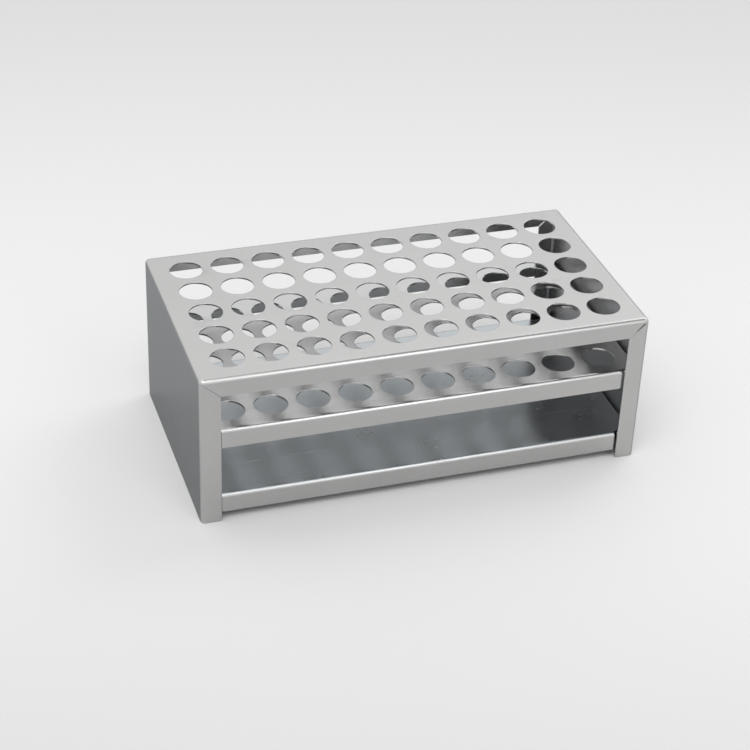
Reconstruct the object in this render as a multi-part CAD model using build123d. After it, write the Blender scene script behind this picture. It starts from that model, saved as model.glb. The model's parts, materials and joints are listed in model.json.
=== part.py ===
from build123d import *
import os
from math import isclose

# Folded sheet-metal rack for test tubes. All sizes are in millimetres.
# The origin is on the table, under the middle of the rack: +X along its length, +Y to its rear, +Z up.

# Tube places
columns = 10
rows = 5
pitch = 23.0
tube_hole_diameter = 18.0
edge_margin = 19.0

# Heights above the table
rack_height = 88.0
middle_shelf_level = 55.8
bottom_shelf_level = 15.5

# Sheet, bends and flanges
sheet = 1.0
housing_bend_radius = 1.6
shelf_bend_radius = 1.3
top_flange_height = 10.5
leg_width = 11.0
shelf_flange_height = 11.0
mitre_gap = 0.7
cut_corner_radius = 1.0

# Room round the shelves' front and rear flanges, which stand between the legs and a little behind them
gap_behind_leg = 0.8
gap_beside_leg = 0.6

# Sizes that follow from those above
rack_length = (columns - 1) * pitch + 2 * edge_margin
rack_depth = (rows - 1) * pitch + 2 * edge_margin
window_length = rack_length - 2 * leg_width
window_height = rack_height - top_flange_height
shelf_length = rack_length - 2 * sheet
shelf_depth = rack_depth - 2 * (sheet + gap_behind_leg)
shelf_front_length = window_length - 2 * gap_beside_leg

standing = (Align.CENTER, Align.CENTER, Align.MIN)
hanging = (Align.CENTER, Align.CENTER, Align.MAX)


def upper_edges(block):
    """Edges round the upper face of a block."""
    return block.faces().sort_by(Axis.Z)[-1].edges()


def round_cut_corners(piece):
    """Round the lowest corners of the flanges, where an edge is as short as the sheet is thick."""
    corners = piece.edges().filter_by(lambda edge: isclose(edge.length, sheet, abs_tol=1e-6))
    return fillet(corners.group_by(Axis.Z)[0], cut_corner_radius)


def perforate(piece, level):
    """Punch the hole of every tube place through the sheet whose upper face is at this level."""
    hole = Cylinder(tube_hole_diameter / 2, 3 * sheet)
    places = Pos(0, 0, level) * GridLocations(pitch, pitch, columns, rows)
    return piece - [place * hole for place in places]


def mitre_slots():
    """Slots through the front and rear flanges, along their mitres. They end where the bends start."""
    bend = housing_bend_radius + sheet
    inner_corner = Vector(window_length / 2, window_height)
    bend_corner = Vector(rack_length / 2 - bend, rack_height - bend)
    start = inner_corner - (bend_corner - inner_corner).normalized() * mitre_gap
    outline = Plane.XZ * trace(Line(start, bend_corner), mitre_gap)
    slot = extrude(outline, rack_depth, both=True)
    return slot + mirror(slot, about=Plane.YZ)


def make_housing():
    """Top plate, end walls and the flanges round the front and rear openings, folded from one sheet."""
    outside = Box(rack_length, rack_depth, rack_height, align=standing)
    outside = fillet(upper_edges(outside) + outside.edges().filter_by(Axis.Z), housing_bend_radius + sheet)
    inside = Box(rack_length - 2 * sheet, rack_depth - 2 * sheet, rack_height - sheet, align=standing)
    inside = fillet(upper_edges(inside) + inside.edges().filter_by(Axis.Z), housing_bend_radius)
    window = Box(window_length, 2 * rack_depth, window_height, align=standing)
    housing = round_cut_corners(outside - inside - window)
    return perforate(housing - mitre_slots(), rack_height)


def make_shelf(level):
    """Plate between the end walls, with flanges turned down on its four sides and notched corners."""
    bend = shelf_bend_radius + sheet
    outside = Box(shelf_length, shelf_depth, shelf_flange_height, align=hanging)
    outside = fillet(upper_edges(outside), bend)
    inside = Box(shelf_length - 2 * sheet, shelf_depth - 2 * sheet, shelf_flange_height, align=hanging)
    inside = Pos(0, 0, -sheet) * fillet(upper_edges(inside), shelf_bend_radius)
    end_flanges = Box(shelf_length, shelf_depth - 2 * bend, 3 * shelf_flange_height)
    front_and_rear_flanges = Box(shelf_front_length, shelf_depth, 3 * shelf_flange_height)
    shelf = (outside - inside) & (end_flanges + front_and_rear_flanges)
    return Pos(0, 0, level) * round_cut_corners(shelf)


def make_middle_shelf():
    """Shelf that guides the tubes, with the same pattern of holes as the top plate."""
    return perforate(make_shelf(middle_shelf_level), middle_shelf_level)


def make_bottom_shelf():
    """Plain shelf that the tubes stand on."""
    return make_shelf(bottom_shelf_level)


nodes = {
    "housing": make_housing(),
    "middle_shelf": make_middle_shelf(),
    "bottom_shelf": make_bottom_shelf(),
}

os.makedirs("parts", exist_ok=True)
for name, piece in nodes.items():
    export_step(piece, f"parts/{name}.step")
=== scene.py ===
import json
import math
import bpy
from mathutils import Matrix, Vector


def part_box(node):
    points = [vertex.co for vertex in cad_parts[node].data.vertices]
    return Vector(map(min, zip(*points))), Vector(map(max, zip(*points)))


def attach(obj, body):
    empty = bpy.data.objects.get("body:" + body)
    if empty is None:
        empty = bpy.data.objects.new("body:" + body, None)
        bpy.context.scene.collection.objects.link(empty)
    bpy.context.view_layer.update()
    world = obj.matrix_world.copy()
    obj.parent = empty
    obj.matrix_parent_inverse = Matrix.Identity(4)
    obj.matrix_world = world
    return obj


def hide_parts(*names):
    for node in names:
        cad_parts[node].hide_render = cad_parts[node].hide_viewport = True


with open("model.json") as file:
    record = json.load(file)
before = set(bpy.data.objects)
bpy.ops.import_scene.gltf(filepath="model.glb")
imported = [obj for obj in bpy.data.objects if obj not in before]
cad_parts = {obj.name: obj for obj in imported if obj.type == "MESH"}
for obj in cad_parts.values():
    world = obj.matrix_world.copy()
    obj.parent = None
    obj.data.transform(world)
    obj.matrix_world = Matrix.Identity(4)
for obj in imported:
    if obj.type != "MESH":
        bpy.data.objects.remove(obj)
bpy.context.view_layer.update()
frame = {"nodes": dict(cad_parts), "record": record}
print("frame loaded:", ", ".join(sorted(frame["nodes"])))


# Shader maths is written with Python's operators on wires: each one adds a Math node.
class Wire:
    def __init__(self, shader, socket):
        self.shader = shader
        self.socket = socket

    def __add__(self, other):
        return self.shader.math("ADD", self, other)

    def __radd__(self, other):
        return self.shader.math("ADD", other, self)

    def __sub__(self, other):
        return self.shader.math("SUBTRACT", self, other)

    def __rsub__(self, other):
        return self.shader.math("SUBTRACT", other, self)

    def __mul__(self, other):
        return self.shader.math("MULTIPLY", self, other)

    def __rmul__(self, other):
        return self.shader.math("MULTIPLY", other, self)

    def __abs__(self):
        return self.shader.math("ABSOLUTE", self)

    def __gt__(self, other):
        return self.shader.math("GREATER_THAN", self, other)


# The nodes of one material, or of the world.
class Shader:
    def __init__(self, owner):
        owner.use_nodes = True
        self.tree = owner.node_tree
        self.tree.nodes.clear()

    def node(self, kind, settings=None, values=None):
        made = self.tree.nodes.new("ShaderNode" + kind)
        for name, value in (settings or {}).items():
            setattr(made, name, value)
        for name, value in (values or {}).items():
            socket = made.inputs[name]
            if isinstance(value, Wire):
                self.tree.links.new(value.socket, socket)
            else:
                socket.default_value = value
        return made

    def wire(self, kind, output, settings=None, values=None):
        return Wire(self, self.node(kind, settings, values).outputs[output])

    def math(self, operation, *values):
        return self.wire("Math", 0, {"operation": operation}, dict(enumerate(values)))

    def dot(self, vector, direction):
        settings = {"operation": "DOT_PRODUCT"}
        return self.wire("VectorMath", "Value", settings, {0: vector, 1: direction})

    def band(self, value, low, high):  # smooth step: 0 at low and 1 at high
        settings = {"interpolation_type": "SMOOTHSTEP"}
        return self.wire("MapRange", "Result", settings, {"Value": value, "From Min": low, "From Max": high})

    def noise(self, place, scale, detail, roughness):
        stretched = self.wire("Mapping", 0, None, {"Vector": place, "Scale": scale})
        values = {"Vector": stretched, "Scale": 1.0, "Detail": detail, "Roughness": roughness}
        return self.wire("TexNoise", 0, None, values)

    def either(self, choice, first, second):  # first where choice is 0, second where it is 1
        return self.wire("Mix", 0, {"data_type": "FLOAT"}, {0: choice, 2: first, 3: second})

    def vector(self, operation, *values, **named):
        return self.wire("VectorMath", 0, {"operation": operation}, {**dict(enumerate(values)), **named})

    def tinted(self, colour, level):  # a fixed colour times a number that varies
        return self.vector("SCALE", colour, Scale=level)

    def blend(self, choice, first, second):  # as either, for two vectors
        return self.wire("Mix", 1, {"data_type": "VECTOR"}, {0: choice, 4: first, 5: second})


def towards(azimuth, elevation):  # unit vector: azimuth 0 is +Y and 90 is +X, in degrees
    flat = math.cos(math.radians(elevation))
    turn = math.radians(azimuth)
    return Vector((math.sin(turn) * flat, math.cos(turn) * flat, math.sin(math.radians(elevation))))


# Satin steel. Its grain blurs reflections across the grain and hardly along it: several shaders, each with
# its normal tipped a little further round the grain, are mixed. Streaks, clouds, specks, hairlines and a
# little grime vary its colour (shade) and its roughness (dull). Tips are in degrees, the grain's height is
# in metres, and the patterns' scales are per metre.
steelLook = {
    "colour": (0.484, 0.480, 0.476),
    "edgeTint": (0.38, 0.40, 0.41),
    "roughness": 0.2,
    "tips": (-10, -6.5, -3.2, 0, 3.2, 6.5, 10),
    "tipSpread": 6.0,
    "grainHeight": 0.000006,
    "grain": {"along": 30, "across": 2600, "detail": 2.0, "roughness": 0.6},
    "streak": {"along": 5, "across": 420, "detail": 3.0, "roughness": 0.6},
    "hair": {"along": 9, "across": 1100, "detail": 1.0, "roughness": 0.5},
    "cloud": {"scale": (26, 26, 26), "detail": 3.0, "roughness": 0.55},
    "speck": {"scale": (1500, 1500, 1500), "detail": 2.0, "roughness": 0.6},
    "grime": {"scale": (60, 60, 60), "detail": 4.0, "roughness": 0.6},
    "hairBand": (0.71, 0.8),
    "grimeBand": (0.6, 0.75),
    "shade": {"cloud": 0.09, "streak": 0.05, "speck": 0.03, "grime": 0.06},
    "dull": {"cloud": 0.08, "streak": 0.06, "grime": 0.08, "hair": 0.05},
}


# On the housing, the end walls and the legs have their grain upright. They are folded down from the top and
# end at the mitre lines, which run from the window's corners to the outer corners. Lengths are in metres.
housingFold = {"legWidth": 0.011, "flangeHeight": 0.0105}


def uprightPart(shader, place, legWidth, flangeHeight):
    outerX, _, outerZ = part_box("housing")[1]
    parts = shader.node("SeparateXYZ", None, {0: place})
    beside = abs(Wire(shader, parts.outputs["X"])) - (outerX - legWidth)
    above = Wire(shader, parts.outputs["Z"]) - (outerZ - flangeHeight)
    return (beside > 0.0) * (beside * (flangeHeight / legWidth) > above)


def steel(name, look, fold=None, plateLevel=None):
    material = bpy.data.materials.new(name)
    shader = Shader(material)
    place = shader.wire("TexCoord", "Object")
    upright = uprightPart(shader, place, **fold) if fold else 0.0
    grainLine = shader.wire("CombineXYZ", 0, None, {"X": 1 - upright, "Z": upright})

    def brushed(along, across, detail, roughness):  # noise drawn out along the grain
        level = shader.noise(place, (along, across, across), detail, roughness)
        if not fold:
            return level
        return shader.either(upright, level, shader.noise(place, (across, across, along), detail, roughness))

    grain = brushed(**look["grain"])
    streak = brushed(**look["streak"]) - 0.5  # noise lies round 0.5
    hair = shader.band(brushed(**look["hair"]), *look["hairBand"])
    cloud = shader.noise(place, **look["cloud"]) - 0.5
    speck = shader.noise(place, **look["speck"]) - 0.5
    grime = shader.band(shader.noise(place, **look["grime"]), *look["grimeBand"])

    shade = look["shade"]
    level = 1 + cloud * shade["cloud"] + streak * shade["streak"] + speck * shade["speck"]
    level = level - grime * shade["grime"]
    colour = shader.tinted(look["colour"], level)
    if plateLevel:  # painted light on the middle shelf's plate and painted shade on the bottom shelf's plate, a tone that fades out at twice plateDepth
        height = Wire(shader, shader.node("SeparateXYZ", None, {0: place}).outputs["Z"])
        plateShadingMask = shader.band(height, plateLevel - 2 * look["plateDepth"], plateLevel - look["plateDepth"])
        colour = shader.blend(plateShadingMask, colour, shader.tinted(look["platePaintedShading"], level))
    dull = look["dull"]
    rough = look["roughness"] + cloud * dull["cloud"] + streak * dull["streak"]
    rough = rough + grime * dull["grime"] + hair * dull["hair"]
    bump = shader.wire("Bump", 0, None, {
        "Height": grain + hair,
        "Distance": look["grainHeight"],
        "Strength": 1.0,
    })
    acrossGrain = shader.vector("CROSS_PRODUCT", grainLine, bump)

    mixed = None
    mixedWeight = 0.0
    for tip in look["tips"]:
        tilt = shader.vector("SCALE", acrossGrain, Scale=math.tan(math.radians(tip)))
        bsdf = shader.wire("BsdfPrincipled", 0, None, {
            "Base Color": colour,
            "Metallic": 1.0,
            "Roughness": rough,
            "Specular Tint": (*look["edgeTint"], 1),
            "Normal": shader.vector("NORMALIZE", shader.vector("ADD", bump, tilt)),
        })
        weight = math.exp(-0.5 * (tip / look["tipSpread"]) ** 2)
        mixedWeight += weight
        if mixed is None:
            mixed = bsdf
        else:
            mixed = shader.wire("MixShader", 0, None, {0: weight / mixedWeight, 1: mixed, 2: bsdf})
    shader.node("OutputMaterial", None, {"Surface": mixed})
    return material


# The middle shelf is smoother than the housing, and its plate is painted a little brighter, as painted
# light. The bottom shelf is rougher, and its plate is painted darker and bluer, as painted shade. A plate's
# painted tone reaches plateDepth down, in metres.
shelfLook = {**steelLook, "grainHeight": 0.0000015, "plateDepth": 0.0006}
middleLook = {**shelfLook, "roughness": 0.15, "platePaintedShading": (0.515, 0.515, 0.513)}
bottomLook = {**shelfLook, "roughness": 0.24, "platePaintedShading": (0.430, 0.451, 0.466)}
housingSteel = steel("housingSteel", steelLook, housingFold)
middleSteel = steel("middleShelfSteel", middleLook, None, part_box("middle_shelf")[1][2])
bottomSteel = steel("bottomShelfSteel", bottomLook, None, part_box("bottom_shelf")[1][2])
print("steel mixed for the housing and the shelves")


# Each sheet piece is a copy of its CAD node. The punch rolls the upper rim of every hole, and the cut edges
# are deburred. Lengths are in metres.
sheetSet = {
    "housing": {
        "material": housingSteel,
        "slot": "housing_steel",
        "edgeEase": 0.00008,
        "perforated": True,
    },
    "middle_shelf": {
        "material": middleSteel,
        "slot": "shelf_steel",
        "edgeEase": 0.00012,
        "perforated": True,
    },
    "bottom_shelf": {
        "material": bottomSteel,
        "slot": "shelf_steel",
        "edgeEase": 0.00012,
        "perforated": False,
    },
}
easeSet = {
    "mergeWithin": 0.000001,
    "flatWithin": math.radians(0.5),
    "sharpOver": math.radians(40),
    "rimEase": 0.0002,
    "rimSegments": 3,
    "rimWithin": 0.00002,
    "rimStep": 0.002,
    "edgeSegments": 2,
}
tubePlaces = [mount for mount in frame["record"]["mounts"] if mount["name"].startswith("tube_place")]


def onRim(corner, level):  # on the upper rim of a hole
    if abs(corner.z - level) > easeSet["rimWithin"]:
        return False
    for mount in tubePlaces:
        x, y, _ = mount["pos_m"]
        radius = mount["dims"]["r_mm"] / 1000
        if abs(math.hypot(corner.x - x, corner.y - y) - radius) < easeSet["rimWithin"]:
            return True
    return False


def selectSharp():
    bpy.ops.mesh.select_all(action="DESELECT")
    bpy.ops.mesh.edges_select_sharp(sharpness=easeSet["sharpOver"])


def selectRims(mesh, level):  # a rim's own edges are short, and the flat ones between two holes are long
    bpy.ops.mesh.select_all(action="DESELECT")
    bpy.ops.object.mode_set(mode="OBJECT")
    rim = [onRim(corner.co, level) for corner in mesh.vertices]
    for edge in mesh.edges:
        first, last = edge.vertices
        length = (mesh.vertices[first].co - mesh.vertices[last].co).length
        edge.select = rim[first] and rim[last] and length < easeSet["rimStep"]
    bpy.ops.object.mode_set(mode="EDIT")


def easeEdges(offset, segments):
    bpy.ops.mesh.bevel(
        offset=offset,
        segments=segments,
        affect="EDGES",
        clamp_overlap=False,
        loop_slide=False,
    )


def makeSheet(nodeName, material, slot, edgeEase, perforated):
    piece = bpy.data.objects.new(nodeName + "_sheet", frame["nodes"][nodeName].data.copy())
    bpy.context.scene.collection.objects.link(piece)
    bpy.ops.object.select_all(action="DESELECT")
    piece.select_set(True)
    bpy.context.view_layer.objects.active = piece
    bpy.ops.object.mode_set(mode="EDIT")
    bpy.ops.mesh.select_mode(type="EDGE")
    bpy.ops.mesh.select_all(action="SELECT")
    bpy.ops.mesh.remove_doubles(threshold=easeSet["mergeWithin"])
    bpy.ops.mesh.customdata_custom_splitnormals_clear()
    bpy.ops.mesh.dissolve_limited(angle_limit=easeSet["flatWithin"])
    if perforated:
        selectRims(piece.data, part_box(nodeName)[1][2])
        easeEdges(easeSet["rimEase"], easeSet["rimSegments"])
    selectSharp()
    easeEdges(edgeEase, easeSet["edgeSegments"])
    bpy.ops.object.mode_set(mode="OBJECT")
    bpy.ops.object.shade_smooth_by_angle(angle=easeSet["sharpOver"])
    flatten = piece.modifiers.new("flatten", "WEIGHTED_NORMAL")
    flatten.keep_sharp = True
    bpy.ops.object.modifier_apply(modifier=flatten.name)
    piece.data.materials.clear()
    piece.data.materials.append(material)
    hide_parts(nodeName)
    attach(piece, "root")
    print(piece.name, len(piece.data.polygons), "faces")


for nodeName, settings in sheetSet.items():
    makeSheet(nodeName, **settings)


# The camera stands where the photograph was taken from. Its angles are in degrees, its lens in millimetres
# and its other lengths in metres.
cameraSet = {
    "aim": (-0.00263, 0.01613, 0.02241),
    "azimuth": 19.018,
    "elevation": 32.707,
    "roll": 2.413,
    "distance": 1.0865,
    "lens": 92.42,
    "nearest": 0.01,
}


# The floor that the rack stands on, with a painted pool of light: palest beside the rack, and painted greyer
# in front and far behind. A painted falloff holds where it starts and where it is complete, in metres along
# floorRun, and the share of the colour it takes.
floorRun = towards(cameraSet["azimuth"], 0)
floorSet = {
    "size": 12,
    "colour": (0.57, 0.57, 0.57),
    "roughness": 0.9,
    "gloss": 0.1,
    "rearPaintedFalloff": (0.05, 0.75, 0.145),
    "frontPaintedFalloff": (0.02, -0.42, 0.21),
}


def makeFloor(size, colour, roughness, gloss, rearPaintedFalloff, frontPaintedFalloff):
    bpy.ops.object.select_all(action="DESELECT")
    bpy.ops.mesh.primitive_plane_add(size=size)
    floor = bpy.context.object
    floor.name = "floor"
    paint = bpy.data.materials.new("floorPaint")
    shader = Shader(paint)
    away = shader.dot(shader.wire("TexCoord", "Object"), floorRun)
    level = 1
    # painted light: the floor's colour greys away from the rack, as falling-off light would
    for near, far, loss in (rearPaintedFalloff, frontPaintedFalloff):
        level = level - shader.band(away, near, far) * loss
    bsdf = shader.wire("BsdfPrincipled", 0, None, {
        "Base Color": shader.tinted(colour, level),
        "Roughness": roughness,
        "Specular IOR Level": gloss,
    })
    shader.node("OutputMaterial", None, {"Surface": bsdf})
    floor.data.materials.append(paint)
    print("floor laid")


makeFloor(**floorSet)


# World: an even room, brighter behind the rack and most at its right rear, with a dark patch nearly
# overhead. Angles are in degrees. A band holds where a side's light starts and where it is complete, on a
# scale from -1, straight away from that side, to 1, straight towards it.
roomSet = {
    "rearLevel": 1.27,
    "rearBand": (-0.4, 0.3),
    "frontLevel": 1.1,
    "rightLevel": 0.25,
    "rightBand": (0.1, 0.6),
    "darkTowards": (105, 72),
    "darkInner": 10,
    "darkOuter": 26,
    "darkLevel": 0.3,
}


def makeRoom(
    rearLevel, rearBand, frontLevel, rightLevel, rightBand, darkTowards, darkInner, darkOuter, darkLevel
):
    world = bpy.data.worlds.new("room")
    bpy.context.scene.world = world
    shader = Shader(world)
    direction = shader.wire("TexCoord", "Generated")
    nearness = shader.dot(direction, towards(*darkTowards))
    dark = shader.band(nearness, math.cos(math.radians(darkOuter)), math.cos(math.radians(darkInner)))
    rear = shader.band(shader.dot(direction, (0, 1, 0)), *rearBand)
    right = shader.band(shader.dot(direction, (1, 0, 0)), *rightBand)
    room = frontLevel + rear * (rearLevel - frontLevel + right * rightLevel)
    strength = room * (1 - dark * (1 - darkLevel))
    background = shader.wire("Background", 0, None, {"Color": (1, 1, 1, 1), "Strength": strength})
    shader.node("OutputWorld", None, {"Surface": background})
    print("room lit")


makeRoom(**roomSet)


# Lamps: a key from the right rear, high up, a panel in front for the bends' bright lines, and a wide fill
# from the front left, which keeps the shadow in front of the rack light. Angles are in degrees and lengths
# in metres.
lampSet = {
    "key": {"azimuth": 62, "elevation": 48, "distance": 3.0, "size": (1.1, 1.1), "radiance": 2.6},
    "panel": {"azimuth": 160, "elevation": 40, "distance": 1.8, "size": (0.45, 0.9), "radiance": 1.9},
    "fill": {"azimuth": 210, "elevation": 66, "distance": 2.0, "size": (1.2, 1.2), "radiance": 3.6},
}


def addLamp(name, azimuth, elevation, distance, size, radiance):
    light = bpy.data.lights.new(name, "AREA")
    light.shape = "RECTANGLE"
    light.size = size[0]
    light.size_y = size[1]
    light.energy = radiance * math.pi * size[0] * size[1]
    lamp = bpy.data.objects.new(name, light)
    bpy.context.scene.collection.objects.link(lamp)
    away = towards(azimuth, elevation)
    lamp.location = away * distance
    lamp.rotation_euler = away.to_track_quat("Z", "Y").to_euler()


for name, settings in lampSet.items():
    addLamp(name, **settings)
print("lamps:", ", ".join(lampSet))


def addCamera(aim, azimuth, elevation, roll, distance, lens, nearest):
    camera = bpy.data.objects.new("camera", bpy.data.cameras.new("camera"))
    bpy.context.scene.collection.objects.link(camera)
    camera.data.lens = lens
    camera.data.clip_start = nearest
    ahead = towards(azimuth, -elevation)
    camera.location = Vector(aim) - ahead * distance
    turned = ahead.to_track_quat("-Z", "Y").to_matrix() @ Matrix.Rotation(math.radians(roll), 3, "Z")
    camera.rotation_euler = turned.to_euler()
    bpy.context.scene.camera = camera


addCamera(**cameraSet)
bpy.context.scene.view_settings.view_transform = "Standard"
print("camera placed")
